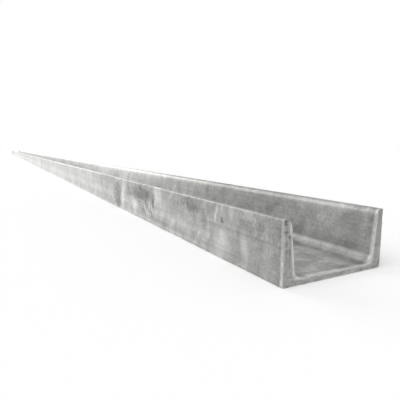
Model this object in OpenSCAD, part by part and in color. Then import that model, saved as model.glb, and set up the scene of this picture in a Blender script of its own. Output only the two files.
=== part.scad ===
// Hot-rolled steel channel section with tapered flanges, one straight mill length.
// It lies on the back of its web with both flanges pointing up:
// X runs across the web, Y along the length, Z up. The origin is the middle of the web's back.

/* [Section] */
// Depth of the section, across the outer faces of the two flanges
section_depth = 100; // [80:1:140]
// Width of each flange, from the back of the web to the toe
flange_width = 48; // [40:1:60]
// Thickness of the web
web_thickness = 5.3; // [4:0.1:7]
// Thickness of each flange, taken halfway between the web and the toe
flange_thickness = 8.5; // [7.5:0.1:10]
// Slope of the inner face of each flange, in percent of its height
flange_slope = 10; // [2:1:10]

/* [Corners] */
// Radius of the root, where the inner face of a flange meets the web
root_radius = 8.5; // [4:0.1:10]
// Radius of the toe, along the inner edge of each flange's tip
toe_radius = 4.25; // [2:0.05:4.5]
// Radius of the heel, the outer corner between the web and a flange
heel_radius = 1.5; // [0.5:0.1:3]

/* [Length] */
// Length the stock is cut to
length = 6000; // [1000:500:12000]

/* [Hidden] */
zinc_grey = [0.74, 0.74, 0.73];
$fn = 48;
// How far a cutting shape runs past what it cuts
overlap = 1;
// How far a rounding circle crosses the sides that it would otherwise only touch
hair = 0.001;

half_depth = section_depth / 2;
slope = flange_slope / 100;
mid_height = (flange_width + web_thickness) / 2;

// Half the clear width between the flanges, at height z above the back of the web
function half_clear(z) = half_depth - flange_thickness + slope * (z - mid_height);

root_corner = [half_clear(web_thickness), web_thickness];
toe_corner = [half_clear(flange_width), flange_width];
heel_corner = [half_depth, 0];

up_the_flange = [slope, 1] / norm([slope, 1]);
outwards = [1, 0];
upwards = [0, 1];

// What lies between a sharp corner and the circle of radius r that touches both its sides,
// carried a little past the corner so that nothing is left at its point.
// side_a and side_b are unit vectors from the corner along its two sides.
module corner_sliver(corner, side_a, side_b, r) {
    half_angle = acos(side_a * side_b) / 2;
    touch = r / tan(half_angle);
    middle = (side_a + side_b) / norm(side_a + side_b);
    past = corner - middle * overlap;
    centre = corner + middle * r / sin(half_angle);
    difference() {
        polygon([past, corner + side_a * touch, centre, corner + side_b * touch]);
        translate(centre) circle(r + hair);
    }
}

// Draws its children on the right and again, mirrored, on the left.
module both_sides() {
    children();
    mirror([1, 0]) children();
}

// The trough between the flanges, running past the toes, with rounded roots.
module trough_outline() {
    above = flange_width + overlap;
    difference() {
        polygon([
            root_corner,
            [half_clear(above), above],
            [-half_clear(above), above],
            [-root_corner.x, root_corner.y]
        ]);
        both_sides() corner_sliver(root_corner, -outwards, up_the_flange, root_radius);
    }
}

// Cross-section: web along the bottom, flanges up both sides.
module section_outline() {
    difference() {
        translate([-half_depth, 0]) square([section_depth, flange_width]);
        trough_outline();
        both_sides() {
            corner_sliver(toe_corner, outwards, -up_the_flange, toe_radius);
            corner_sliver(heel_corner, -outwards, upwards, heel_radius);
        }
    }
}

// The whole piece of stock: the section carried along Y.
module channel_section() {
    color(zinc_grey)
        rotate([90, 0, 0])
            linear_extrude(height = length, center = true) section_outline();
}

channel_section();
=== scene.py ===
import math

import bmesh
import bpy
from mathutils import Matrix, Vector, noise


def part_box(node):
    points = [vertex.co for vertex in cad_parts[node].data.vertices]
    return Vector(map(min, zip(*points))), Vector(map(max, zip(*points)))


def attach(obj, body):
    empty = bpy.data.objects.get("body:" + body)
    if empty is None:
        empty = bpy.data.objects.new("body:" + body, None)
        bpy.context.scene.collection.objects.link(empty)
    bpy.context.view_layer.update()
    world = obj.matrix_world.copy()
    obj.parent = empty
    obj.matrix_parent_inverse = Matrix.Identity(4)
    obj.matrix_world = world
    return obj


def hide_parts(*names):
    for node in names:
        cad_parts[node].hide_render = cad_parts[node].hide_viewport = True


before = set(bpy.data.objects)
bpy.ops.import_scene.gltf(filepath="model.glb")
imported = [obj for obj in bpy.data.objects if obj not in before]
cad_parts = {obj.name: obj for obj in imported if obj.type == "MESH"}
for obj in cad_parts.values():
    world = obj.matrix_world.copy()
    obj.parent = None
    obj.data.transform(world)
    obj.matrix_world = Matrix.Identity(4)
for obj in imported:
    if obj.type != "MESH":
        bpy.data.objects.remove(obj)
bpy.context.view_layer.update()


# --- The rolled channel ---
# One length of hot-rolled carbon steel: a flat web with a tapered flange along each side,
# rounded at the roots and toes by the rolls, cut square at both ends and dipped in zinc.
MM = 0.001
low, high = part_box("channel_section")
half_depth = (high.x - low.x) / 2
flange_width = high.z - low.z
half_length = (high.y - low.y) / 2
web_thickness = 5.3 * MM
flange_thickness = 8.5 * MM
flange_slope = 0.1
root_radius = 8.5 * MM
toe_radius = 4.25 * MM
heel_radius = 1.5 * MM
toe_edge_radius = 0.8 * MM


def half_clear(z):
    """Half the clear width between the flanges, at height z above the back of the web."""
    mid_height = (flange_width + web_thickness) / 2
    return half_depth - flange_thickness + flange_slope * (z - mid_height)


# The section's sharp corners on the right, with the radius that each is rolled to.
right_corners = [
    (half_depth, 0, heel_radius),
    (half_depth, flange_width, toe_edge_radius),
    (half_clear(flange_width), flange_width, toe_radius),
    (half_clear(web_thickness), web_thickness, root_radius),
]
left_corners = [(-x, z, radius) for x, z, radius in reversed(right_corners)]

channel_mesh = bmesh.new()
corners = []
for x, z, radius in right_corners + left_corners:
    corners.append((channel_mesh.verts.new((x, -half_length, z)), radius))
channel_mesh.faces.new([vert for vert, radius in corners])

# Each corner is rounded with about one facet to a millimetre of its radius.
fewest_facets = 2
for vert, radius in corners:
    side_a, side_b = [(edge.other_vert(vert).co - vert.co).normalized() for edge in vert.link_edges]
    setback = radius / math.tan(side_a.angle(side_b) / 2)
    bmesh.ops.bevel(
        channel_mesh, geom=[vert], affect="VERTICES", offset=setback, offset_type="OFFSET",
        segments=max(fewest_facets, round(radius / MM)), profile=0.5, material=-1,
        clamp_overlap=False)

# Cut the flat section into cells, so that its cut face and its sides can carry shallow relief.
cell = 2 * MM
snap_distance = 0.2 * MM
for axis, extent in ((Vector((1, 0, 0)), half_depth), (Vector((0, 0, 1)), flange_width)):
    for i in range(-math.floor(extent / cell), math.floor(extent / cell) + 1):
        everything = channel_mesh.verts[:] + channel_mesh.edges[:] + channel_mesh.faces[:]
        bmesh.ops.bisect_plane(
            channel_mesh, geom=everything, dist=snap_distance, plane_co=axis * i * cell,
            plane_no=axis)

# Draw the section out along its length, in steps that are short near the ends and long between.
shortest_step = 1.2 * MM
longest_step = 40 * MM
step_growth = 0.06
stations = [0]
while stations[-1] < half_length:
    step = min(shortest_step + step_growth * stations[-1], longest_step)
    stations.append(min(stations[-1] + step, half_length))
stations = [y - half_length for y in stations] + [half_length - y for y in reversed(stations[:-1])]
leading_faces = channel_mesh.faces[:]
for previous, y in zip(stations, stations[1:]):
    drawn = bmesh.ops.extrude_face_region(channel_mesh, geom=leading_faces)["geom"]
    if previous > stations[0]:
        bmesh.ops.delete(channel_mesh, geom=leading_faces, context="FACES")
    leading_faces = [part for part in drawn if isinstance(part, bmesh.types.BMFace)]
    moved = [part for part in drawn if isinstance(part, bmesh.types.BMVert)]
    bmesh.ops.translate(channel_mesh, verts=moved, vec=(0, y - previous, 0))
bmesh.ops.recalc_face_normals(channel_mesh, faces=channel_mesh.faces)

# The cut faces take the second material, and their rims are broken by the saw and the zinc.
COAT_SLOT, CUT_SLOT = 0, 1
faces_end_on = 0.9
for face in channel_mesh.faces:
    face.material_index = CUT_SLOT if abs(face.normal.y) > faces_end_on else COAT_SLOT
rims = [e for e in channel_mesh.edges if len({f.material_index for f in e.link_faces}) == 2]
rim_width = 0.4 * MM
bmesh.ops.bevel(
    channel_mesh, geom=rims, affect="EDGES", offset=rim_width, offset_type="OFFSET",
    segments=2, profile=0.5, material=COAT_SLOT, clamp_overlap=True)


def wave(place, size, seed):
    """Smooth noise from -1 to 1 at a place, with humps of about that size in metres."""
    return noise.noise(Vector([c / s for c, s in zip(place, size)]) + Vector((seed, seed, seed)))


# Shallow relief, along each point's normal. The rolled faces and edges wander a little along
# the length. Near the ends the zinc has set in low lumps, and on the trough's side of the cut
# it has set over the saw's burr in a thicker, uneven bead.
wander_height = 0.12 * MM
wander_size = (30 * MM, 250 * MM, 30 * MM)
wander_seed = 3
lump_height = 0.22 * MM
lump_size = (4 * MM, 6 * MM, 4 * MM)
lump_seed = 11
lumps_reach = 40 * MM
bead_height = 0.3 * MM
bead_swing = 0.6 * MM
bead_size = (5 * MM, 5 * MM, 5 * MM)
bead_seed = 23
bead_width = 1.5 * rim_width
channel_mesh.normal_update()
moves = []
for vert in channel_mesh.verts:
    end_distance = half_length - abs(vert.co.y)
    wander = wander_height * wave(vert.co, wander_size, wander_seed)
    lump_share = max(0, 1 - end_distance / lumps_reach) ** 2
    lumps = lump_height * lump_share * wave(vert.co, lump_size, lump_seed)
    bead = 0
    between_flanges = abs(vert.co.x) < half_clear(vert.co.z) + rim_width
    above_web_rim = vert.co.z > web_thickness - rim_width
    if between_flanges and above_web_rim and end_distance < bead_width:
        bead = bead_height + bead_swing * wave(vert.co, bead_size, bead_seed)
    moves.append(vert.normal * (wander + lumps + bead))
for vert, move in zip(channel_mesh.verts, moves):
    vert.co += move
    vert.co.z = max(vert.co.z, 0)


def middle(part):
    """The middle of a point or a face, given along, across and up."""
    points = [part] if isinstance(part, bmesh.types.BMVert) else part.verts
    return [math.fsum(vert.co[axis] for vert in points) / len(points) for axis in (1, 0, 2)]


# The operators leave points and faces in an order that changes from run to run, so both are put
# in order of place, and every run numbers them alike.
for parts in (channel_mesh.verts, channel_mesh.faces):
    ranks = {part: rank for rank, part in enumerate(sorted(parts, key=middle))}
    parts.sort(key=ranks.get)
for face in channel_mesh.faces:
    face.smooth = True
channel_data = bpy.data.meshes.new("rolled_channel")
channel_mesh.to_mesh(channel_data)
channel_mesh.free()
rolled_channel = bpy.data.objects.new("rolled_channel", channel_data)
bpy.context.scene.collection.objects.link(rolled_channel)


def linear(hex_code):
    """A colour written as sRGB hex, in the linear values that shaders take."""
    channels = [int(hex_code[i:i + 2], 16) / 255 for i in (1, 3, 5)]
    return [c / 12.92 if c <= 0.04045 else ((c + 0.055) / 1.055) ** 2.4 for c in channels] + [1]


def add_node(tree, kind, links, **settings):
    """Adds a shader node. links maps each input to a value or to the socket that feeds it."""
    made = tree.nodes.new("ShaderNode" + kind)
    for name, value in settings.items():
        setattr(made, name, value)
    for name, value in links.items():
        if isinstance(value, bpy.types.NodeSocket):
            tree.links.new(value, made.inputs[name])
        else:
            made.inputs[name].default_value = value
    return made


def new_material(name):
    """An empty node material, its tree and the socket that its shader goes into."""
    made = bpy.data.materials.new(name)
    made.use_nodes = True
    made.node_tree.nodes.clear()
    surface = made.node_tree.nodes.new("ShaderNodeOutputMaterial").inputs["Surface"]
    return made, made.node_tree, surface


def set_ramp(ramp, stops):
    """Gives a colour ramp its stops, each a position and a colour in hex."""
    while len(ramp.elements) < len(stops):
        ramp.elements.new(1.0)
    for element, (position, colour) in zip(ramp.elements, stops):
        element.position = position
        element.color = linear(colour)


# Dull hot-dip zinc: light grey and finely speckled, drawn out in faint streaks along the
# rolling, smudged where it was handled; it has a soft sheen and no clear reflections. The real
# speckle is about a millimetre across and is drawn coarser, so that it shows.
zinc_coat, tree, surface = new_material("dull_hot_dip_zinc")
speckle_size = 2.2 * MM
mottle_size = 9 * MM
patch_size = 110 * MM
fleck_spacing = 5 * MM
streak_width = 1.8 * MM
streak_length = 220 * MM
smudge_height = 30 * MM
smudge_length = 16 * MM
smudge_lean = math.radians(24)
place = add_node(tree, "TexCoord", {}).outputs["Object"]
axes = add_node(tree, "SeparateXYZ", {"Vector": place}).outputs
across = add_node(tree, "Math", {0: axes["X"]}, operation="ABSOLUTE").outputs[0]
along = add_node(tree, "Math", {0: axes["Y"]}, operation="ABSOLUTE").outputs[0]
height = axes["Z"]
from_end = add_node(tree, "Math", {0: half_length, 1: along}, operation="SUBTRACT").outputs[0]

speckle = add_node(tree, "TexNoise", {
    "Vector": place, "Scale": 1 / speckle_size, "Detail": 2}).outputs["Fac"]
mottle = add_node(tree, "TexNoise", {
    "Vector": place, "Scale": 1 / mottle_size, "Detail": 3}).outputs["Fac"]
patches = add_node(tree, "TexNoise", {
    "Vector": place, "Scale": 1 / patch_size, "Detail": 1}).outputs["Fac"]
drawn_out = add_node(tree, "Mapping", {
    "Vector": place, "Scale": (1 / streak_width, 1 / streak_length, 1 / streak_width)})
streaks = add_node(tree, "TexNoise", {
    "Vector": drawn_out.outputs[0], "Scale": 1, "Detail": 3}).outputs["Fac"]
wiped = add_node(tree, "Mapping", {
    "Vector": place, "Rotation": (smudge_lean, 0, 0),
    "Scale": (smudge_length, smudge_length, smudge_height)}, vector_type="TEXTURE")
smudges = add_node(tree, "TexNoise", {
    "Vector": wiped.outputs[0], "Scale": 1, "Detail": 5, "Roughness": 0.6,
    "Distortion": 0.6}).outputs["Fac"]

# Painted highlights make the zinc lightest along the cut edge and the heels, and it is dull just
# behind the cut. Painted shade makes the flanges darker towards their toes, the sheltered trough
# is a little lighter, and a painted sheen makes the long middle brighter than the ends.
middle_sheen_start = 0.15
middle_sheen_full = 0.6
# Painted highlight along the cut edge.
cut_edge_highlight = add_node(tree, "MapRange", {
    "Value": from_end, "From Min": 1.5 * MM, "From Max": 3.2 * MM, "To Min": 1.0, "To Max": 0.0})
dull_band = add_node(tree, "MapRange", {
    "Value": from_end, "From Min": 4 * MM, "From Max": 12 * MM, "To Min": 1.0, "To Max": 0.0})
from_side = add_node(tree, "Math", {0: half_depth, 1: across}, operation="SUBTRACT").outputs[0]
from_heel = add_node(tree, "Math", {0: from_side, 1: height}, operation="MAXIMUM").outputs[0]
# Painted highlight along the heels.
heel_highlight = add_node(tree, "MapRange", {
    "Value": from_heel, "From Min": 2.5 * MM, "From Max": 6 * MM, "To Min": 1.0, "To Max": 0.0})
# Painted shade: the flanges darker towards their toes.
toe_side_shade = add_node(tree, "MapRange", {
    "Value": height, "From Min": 0.35 * flange_width, "From Max": 0.75 * flange_width})
above_web = add_node(tree, "Math", {
    0: height, 1: web_thickness / 2}, operation="GREATER_THAN").outputs[0]
off_outside = add_node(tree, "Math", {
    0: from_side, 1: flange_thickness / 4}, operation="GREATER_THAN").outputs[0]
in_trough = add_node(tree, "Math", {0: above_web, 1: off_outside}, operation="MULTIPLY")
# Painted sheen: the long middle lighter than the ends. The same share makes the middle smoother
# below.
middle_painted_sheen = add_node(tree, "MapRange", {
    "Value": from_end, "From Min": middle_sheen_start, "From Max": middle_sheen_full})

# The roots are darker, thinning out on both sides of them: partly grime, and partly painted shade
# that dims the fillets' highlight.
from_root_across = add_node(tree, "Math", {
    0: across, 1: half_clear(web_thickness)}, operation="SUBTRACT").outputs[0]
from_root_up = add_node(tree, "Math", {
    0: height, 1: web_thickness}, operation="SUBTRACT").outputs[0]
from_root = add_node(tree, "CombineXYZ", {"X": from_root_across, "Z": from_root_up})
root_distance = add_node(tree, "VectorMath", {0: from_root.outputs[0]}, operation="LENGTH")
root_grime_and_shade = add_node(tree, "MapRange", {
    "Value": root_distance.outputs["Value"], "From Min": 0.3 * root_radius,
    "From Max": 1.7 * root_radius, "To Min": 1.0, "To Max": 0.0})

# A faint line that a worn roll left along each flange, and small dark flecks.
roll_line_height = 0.6 * flange_width
roll_line_half_width = 0.7 * MM
roll_line = add_node(tree, "Math", {
    0: height, 1: roll_line_height, 2: roll_line_half_width}, operation="COMPARE")
flecks = add_node(tree, "TexNoise", {
    "Vector": place, "Scale": 1 / fleck_spacing, "Detail": 1}).outputs["Fac"]
dark_flecks = add_node(tree, "MapRange", {"Value": flecks, "From Min": 0.76, "From Max": 0.82})

# The tone runs from 0, the darkest grey, to 1, the lightest. Each texture and region adds its
# share to it. The textures vary about a half, so half of each share is taken off first.
mean_tone = 0.51
textures = [(speckle, 0.38), (mottle, 0.35), (streaks, 0.3), (smudges, 0.65), (patches, 0.4)]
regions = [
    (cut_edge_highlight.outputs[0], 0.32), (dull_band.outputs[0], -0.1), (heel_highlight.outputs[0], 0.12),
    (toe_side_shade.outputs[0], -0.14), (in_trough.outputs[0], 0.04),
    (middle_painted_sheen.outputs[0], 0.28), (root_grime_and_shade.outputs[0], -0.26),
    (roll_line.outputs[0], -0.05), (dark_flecks.outputs[0], -0.22)]
tone = mean_tone - sum(share / 2 for source, share in textures)
for source, share in textures + regions:
    tone = add_node(tree, "Math", {
        0: source, 1: share, 2: tone}, operation="MULTIPLY_ADD").outputs[0]

# Marks of handling on the outside of the left flange, near one end, and one painted shadow of a
# strap. Each has its distance from the end, its height, its reach along and up, and its lean in
# degrees, and then how much lighter or darker it is than the zinc round it. Lengths are in
# millimetres.
marks_and_strap_shadow = [
    (88, 42, 2.2, 5, 18, 0.32),
    (91, 35, 2.0, 5, -4, 0.28),
    (79, 34, 2.4, 3.4, -10, -0.34),
    (65, 43, 4, 6, 0, 0.2),
    (82, 19, 11, 18, 0, 0.16),
    (46, 20, 5, 13, -12, 0.18),
    (34, 37, 18, 5, 10, -0.06),
    (112, 30, 8, 8, 20, -0.1),
    (137, 39, 20, 7, 0, -0.2),
    (150, 12, 14, 7, 30, 0.12),
    (226, 38, 15, 14, 38, 0.26),
    (210, 24, 7, 14, 38, 0.16),
    (243, 26, 3, 9, 14, -0.36),
    (290, 34, 44, 9, 0, -0.3),
    (316, 17, 12, 11, 25, 0.2),
    (345, 34, 10, 10, 20, -0.14),
    (372, 26, 9, 24, 15, 0.14),
    # Partly grime, and partly painted shadow of a strap that lay across the flange.
    (401, 19, 19, 19, 20, -0.3),
]
# Six short scratches side by side, where something was dragged across.
first_scratch = 250
scratch_gap = 9
lowest_scratch = 14
scratch_rise = 3
for i in range(6):
    scratch_height = lowest_scratch + scratch_rise * (i % 3)
    marks_and_strap_shadow.append((first_scratch + scratch_gap * i, scratch_height, 1.7, 9, -36, -0.34))

# A mark is full in its core and fades out at its rim, both given as shares of its reach. The
# zinc's own mottle and speckle make its outline ragged.
mark_depth = 6 * MM
mark_core = 0.5
mark_rim = 1.3
ragged_by = 1.4
raggedness = add_node(tree, "Math", {0: mottle, 1: speckle}, operation="ADD").outputs[0]
raggedness = add_node(tree, "Math", {
    0: raggedness, 1: ragged_by, 2: -ragged_by}, operation="MULTIPLY_ADD").outputs[0]
for mark_from_end, mark_height, reach_along, reach_up, lean, change in marks_and_strap_shadow:
    measured = add_node(tree, "Mapping", {
        "Vector": place,
        "Location": (-half_depth, mark_from_end * MM - half_length, mark_height * MM),
        "Rotation": (math.radians(lean), 0, 0),
        "Scale": (mark_depth, reach_along * MM, reach_up * MM)}, vector_type="TEXTURE")
    distance = add_node(tree, "VectorMath", {0: measured.outputs[0]}, operation="LENGTH")
    ragged = add_node(tree, "Math", {
        0: distance.outputs["Value"], 1: raggedness}, operation="ADD")
    mark = add_node(tree, "MapRange", {
        "Value": ragged.outputs[0], "From Min": mark_core, "From Max": mark_rim,
        "To Min": 1.0, "To Max": 0.0})
    tone = add_node(tree, "Math", {
        0: mark.outputs[0], 1: change, 2: tone}, operation="MULTIPLY_ADD").outputs[0]

shade = add_node(tree, "ValToRGB", {"Fac": tone})
set_ramp(shade.color_ramp, [(0.0, "#6c6c69"), (0.5, "#b0b0ae"), (1.0, "#ececeb")])
grain = add_node(tree, "Bump", {
    "Height": speckle, "Distance": 0.12 * MM, "Strength": 0.4})
# The smudges make it shinier and duller, and the middle, under its painted sheen, is a little
# smoother.
middle_roughness_change = -0.06
roughness = add_node(tree, "MapRange", {
    "Value": smudges, "From Min": 0.3, "From Max": 0.7, "To Min": 0.45, "To Max": 0.6})
roughness = add_node(tree, "Math", {
    0: middle_painted_sheen.outputs[0], 1: middle_roughness_change, 2: roughness.outputs[0]},
    operation="MULTIPLY_ADD")
# Seen at a flat angle, the dull coat mirrors a little less than clean metal would.
flat_angle_tint = linear("#e5e5e4")
shader = add_node(tree, "BsdfPrincipled", {
    "Base Color": shade.outputs["Color"], "Metallic": 1.0, "Specular Tint": flat_angle_tint,
    "Roughness": roughness.outputs[0], "Normal": grain.outputs[0]})
tree.links.new(shader.outputs["BSDF"], surface)
channel_data.materials.append(zinc_coat)

# The sawn ends under the same zinc: rougher and greyer, light along both rims, and faintly
# streaked side by side with the walls. The light rims are painted highlight, and on the trough's
# side also the zinc's bead. The saw's real grit is a fraction of a millimetre, too fine to show,
# so it is drawn coarser.
sawn_end, tree, surface = new_material("zinc_dipped_sawn_steel")
grit_size = 1.6 * MM
blotch_size = 7 * MM
cut_fleck_spacing = 3.2 * MM
layer_width = 1.3 * MM
layer_length = 30 * MM
place = add_node(tree, "TexCoord", {}).outputs["Object"]
axes = add_node(tree, "SeparateXYZ", {"Vector": place}).outputs
across = add_node(tree, "Math", {0: axes["X"]}, operation="ABSOLUTE").outputs[0]
height = axes["Z"]
# The flange's taper again, so that the light rim, bead and painted highlight, follows the trough's
# side of the cut.
clear_at_back = half_clear(0)
clear_here = add_node(tree, "Math", {
    0: height, 1: flange_slope, 2: clear_at_back}, operation="MULTIPLY_ADD").outputs[0]
past_flange_side = add_node(tree, "Math", {
    0: across, 1: clear_here}, operation="SUBTRACT").outputs[0]
under_web_side = add_node(tree, "Math", {
    0: web_thickness, 1: height}, operation="SUBTRACT").outputs[0]
from_trough = add_node(tree, "Math", {
    0: past_flange_side, 1: under_web_side, 2: root_radius}, operation="SMOOTH_MAX").outputs[0]
from_outside = add_node(tree, "Math", {0: half_depth, 1: across}, operation="SUBTRACT").outputs[0]
from_outside = add_node(tree, "Math", {0: from_outside, 1: height}, operation="MINIMUM").outputs[0]

grit = add_node(tree, "TexNoise", {
    "Vector": place, "Scale": 1 / grit_size, "Detail": 3}).outputs["Fac"]
blotches = add_node(tree, "TexNoise", {
    "Vector": place, "Scale": 1 / blotch_size, "Detail": 2}).outputs["Fac"]
beside_walls = add_node(tree, "CombineXYZ", {"X": axes["X"], "Y": height})
beside_walls = add_node(tree, "VectorMath", {
    0: beside_walls.outputs[0], "Scale": 1 / layer_length}, operation="SCALE")
layer_depth = add_node(tree, "Math", {0: from_outside, 1: layer_width}, operation="DIVIDE").outputs[0]
layer_place = add_node(tree, "CombineXYZ", {"Z": layer_depth})
layer_place = add_node(tree, "VectorMath", {
    0: beside_walls.outputs[0], 1: layer_place.outputs[0]}, operation="ADD")
rolled_layers = add_node(tree, "TexNoise", {
    "Vector": layer_place.outputs[0], "Scale": 1, "Detail": 2}).outputs["Fac"]
rim_swing = 0.9 * MM
uneven = add_node(tree, "MapRange", {
    "Value": blotches, "From Min": 0.3, "From Max": 0.7, "To Min": -rim_swing, "To Max": rim_swing})
uneven_rim = add_node(tree, "Math", {0: from_trough, 1: uneven.outputs[0]}, operation="ADD")
# The zinc's bead and a painted highlight along the trough's side of the cut.
trough_bead_and_highlight = add_node(tree, "MapRange", {
    "Value": uneven_rim.outputs[0], "From Min": 0.8 * MM, "From Max": 2.0 * MM,
    "To Min": 1.0, "To Max": 0.0})
# Painted highlight along the outside rim of the cut.
outer_rim_highlight = add_node(tree, "MapRange", {
    "Value": from_outside, "From Min": 0.5 * MM, "From Max": 1.3 * MM, "To Min": 1.0, "To Max": 0.0})
flecks = add_node(tree, "TexNoise", {
    "Vector": place, "Scale": 1 / cut_fleck_spacing, "Detail": 1}).outputs["Fac"]
dark_flecks = add_node(tree, "MapRange", {"Value": flecks, "From Min": 0.66, "From Max": 0.74})

mean_tone = 0.43
textures = [(grit, 0.3), (blotches, 0.35), (rolled_layers, 0.6)]
regions = [
    (trough_bead_and_highlight.outputs[0], 0.3), (outer_rim_highlight.outputs[0], 0.12), (dark_flecks.outputs[0], -0.25)]
tone = mean_tone - sum(share / 2 for source, share in textures)
for source, share in textures + regions:
    tone = add_node(tree, "Math", {
        0: source, 1: share, 2: tone}, operation="MULTIPLY_ADD").outputs[0]

# Small pits that the zinc didn't fill, on the cut face of the left flange. Each has its distance
# from the outside of the flange, its height and its radius in millimetres, and how much darker
# it is than the cut face round it.
pits = [
    (1.4, 45.8, 2.2, -0.42),
    (2.6, 38.6, 1.8, -0.24),
    (5.4, 35.2, 1.7, -0.28),
    (2.4, 31.2, 2.0, -0.22),
    (4.4, 25.4, 1.8, -0.16),
    (1.6, 9.8, 1.6, -0.14),
]
# The grit adds about 2.5 mm to each distance, more in some places than in others, which makes
# the outlines ragged. The core and the rim of a pit are measured with that added.
pit_ragged_by = 5 * MM
pit_core_start = 2.2 * MM
pit_core_share = 0.4
pit_rim_start = 2.6 * MM
pit_rim_share = 1.4
for from_flange_side, pit_height, radius, change in pits:
    pit_centre = (from_flange_side * MM - half_depth, -half_length, pit_height * MM)
    distance = add_node(tree, "VectorMath", {0: place, 1: pit_centre}, operation="DISTANCE")
    ragged = add_node(tree, "Math", {
        0: grit, 1: pit_ragged_by, 2: distance.outputs["Value"]}, operation="MULTIPLY_ADD")
    pit = add_node(tree, "MapRange", {
        "Value": ragged.outputs[0],
        "From Min": pit_core_start + pit_core_share * radius * MM,
        "From Max": pit_rim_start + pit_rim_share * radius * MM,
        "To Min": 1.0, "To Max": 0.0})
    tone = add_node(tree, "Math", {
        0: pit.outputs[0], 1: change, 2: tone}, operation="MULTIPLY_ADD").outputs[0]

shade = add_node(tree, "ValToRGB", {"Fac": tone})
set_ramp(shade.color_ramp, [(0.0, "#6c6c6a"), (0.5, "#b0b0ae"), (1.0, "#ebebe9")])
grain = add_node(tree, "Bump", {"Height": grit, "Distance": 0.2 * MM, "Strength": 0.6})
shader = add_node(tree, "BsdfPrincipled", {
    "Base Color": shade.outputs["Color"], "Metallic": 0.8, "Roughness": 0.62,
    "Normal": grain.outputs[0]})
tree.links.new(shader.outputs["BSDF"], surface)
channel_data.materials.append(sawn_end)

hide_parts("channel_section")
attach(rolled_channel, "root")


# --- Floor ---
# A matt white floor, wide enough to pass out of sight, with the channel's soft shadow on it.
floor_mesh = bmesh.new()
floor_half_width = 60
bmesh.ops.create_grid(floor_mesh, x_segments=1, y_segments=1, size=floor_half_width)
floor_data = bpy.data.meshes.new("floor")
floor_mesh.to_mesh(floor_data)
floor_mesh.free()
floor = bpy.data.objects.new("floor", floor_data)
bpy.context.scene.collection.objects.link(floor)
floor_paint, tree, surface = new_material("matt_white_floor")
diffuse = add_node(tree, "BsdfDiffuse", {"Color": linear("#fdfdfd")})
tree.links.new(diffuse.outputs["BSDF"], surface)
floor_data.materials.append(floor_paint)


# --- Backdrop and light ---
# A pale studio: soft light from all round, a softbox above on the left and a window behind on
# the left. The backdrop is pure white, and so is what the metal mirrors from that side.
world = bpy.data.worlds.new("studio")
world.use_nodes = True
tree = world.node_tree
tree.nodes.clear()
surface = tree.nodes.new("ShaderNodeOutputWorld").inputs["Surface"]
backdrop_side = (-0.55, 0.8, 0.25)
rays = add_node(tree, "LightPath", {}).outputs
direction = add_node(tree, "TexCoord", {}).outputs["Generated"]
towards_backdrop = add_node(tree, "VectorMath", {
    0: direction, 1: backdrop_side}, operation="DOT_PRODUCT")
backdrop_share = add_node(tree, "MapRange", {
    "Value": towards_backdrop.outputs["Value"], "From Min": -0.5, "From Max": 0.5})
mirrored = add_node(tree, "Math", {
    0: rays["Is Glossy Ray"], 1: backdrop_share.outputs[0]}, operation="MULTIPLY")
seen = add_node(tree, "Math", {
    0: rays["Is Camera Ray"], 1: mirrored.outputs[0]}, operation="MAXIMUM")
around = add_node(tree, "Background", {"Color": linear("#ffffff"), "Strength": 0.6})
backdrop = add_node(tree, "Background", {"Color": linear("#ffffff"), "Strength": 1.0})
mixed = add_node(tree, "MixShader", {"Fac": seen.outputs[0]})
tree.links.new(around.outputs[0], mixed.inputs[1])
tree.links.new(backdrop.outputs[0], mixed.inputs[2])
tree.links.new(mixed.outputs[0], surface)
bpy.context.scene.world = world


def soft_sun(name, comes_from, spread, strength):
    """Even light from one direction, out of a window or softbox that fills that many degrees."""
    lamp_data = bpy.data.lights.new(name, "SUN")
    lamp_data.angle = math.radians(spread)
    lamp_data.energy = strength
    lamp = bpy.data.objects.new(name, lamp_data)
    lamp.rotation_euler = Vector(comes_from).to_track_quat("Z", "Y").to_euler()
    bpy.context.scene.collection.objects.link(lamp)


soft_sun("softbox_above_left", (-0.6, -0.45, 1.0), spread=70, strength=1.35)
soft_sun("window_behind_left", (-0.3, 1.0, 0.28), spread=40, strength=0.9)


# --- Camera ---
# Low and close to the left of the near end, as one crouches to look along a length of stock.
near_corner = Vector((-half_depth, -half_length, 0))
stand_off = 0.25
bearing = math.radians(40.9)
camera_height = 0.0955
heading = math.radians(28)
pitch = math.radians(-8)
camera_data = bpy.data.cameras.new("camera")
camera_data.sensor_width = 36
camera_data.lens = 33.7
camera_data.clip_start = 0.01
camera_data.clip_end = 200
camera = bpy.data.objects.new("camera", camera_data)
camera.location = near_corner + Vector(
    (-stand_off * math.sin(bearing), -stand_off * math.cos(bearing), camera_height))
camera.rotation_euler = (math.radians(90) + pitch, 0, -heading)
bpy.context.scene.collection.objects.link(camera)
bpy.context.scene.camera = camera
bpy.context.scene.view_settings.view_transform = "Standard"
